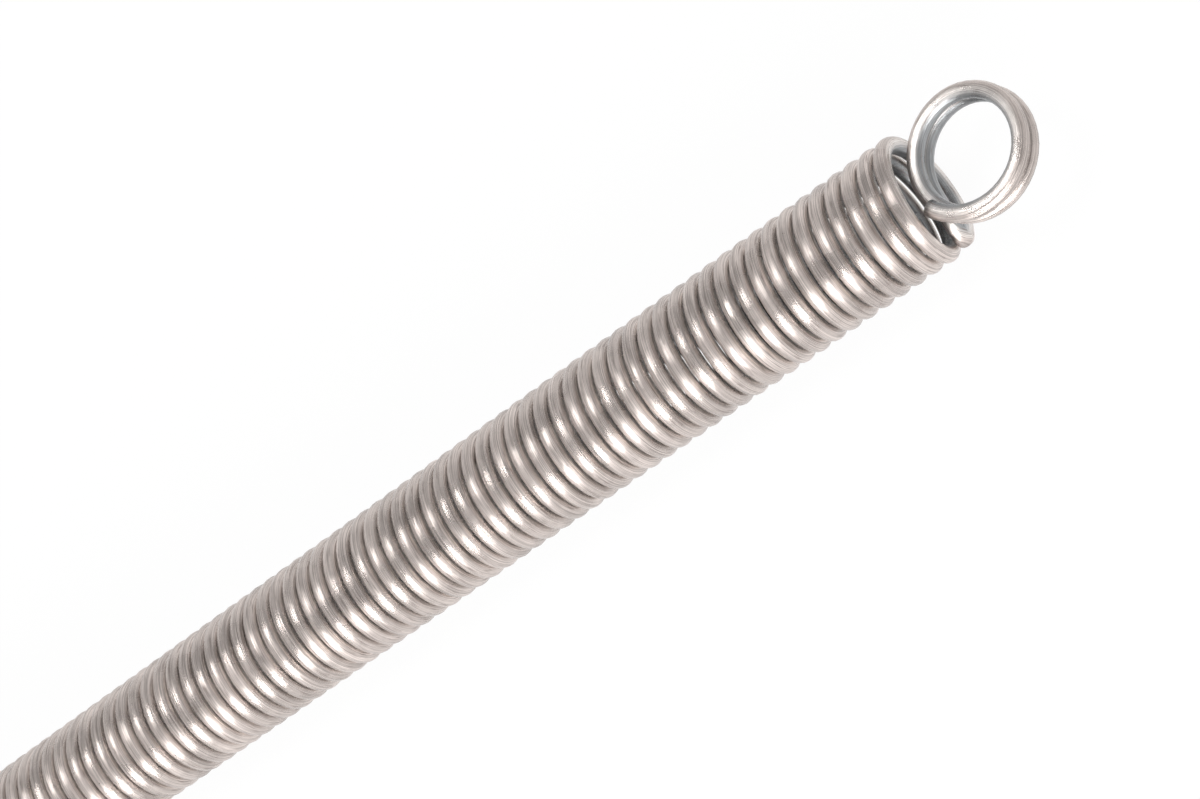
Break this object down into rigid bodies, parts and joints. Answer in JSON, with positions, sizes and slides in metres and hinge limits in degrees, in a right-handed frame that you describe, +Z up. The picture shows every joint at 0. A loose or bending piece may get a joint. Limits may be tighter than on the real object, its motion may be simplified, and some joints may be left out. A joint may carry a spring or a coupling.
{
  "type": "pipe bending spring",
  "caption": "Long close-coiled wire spring, pushed inside a soft metal tube so that it bends without kinking, with a round pulling eye at one end.",
  "frame": {"origin": "middle of the length and width, on the surface that the spring lies on", "axes": "+X along the coil towards the eye, +Z up and square to the eye's plane, +Y across the eye"},
  "size_m": [0.6, 0.0199, 0.0198],
  "materials": {
    "plated_wire": "bright zinc-plated drawn wire, with fine drawing lines and small dark specks"
  },
  "bodies": {
    "root": {"pipe_bending_spring": "plated_wire"}
  },
  "joints": []
}
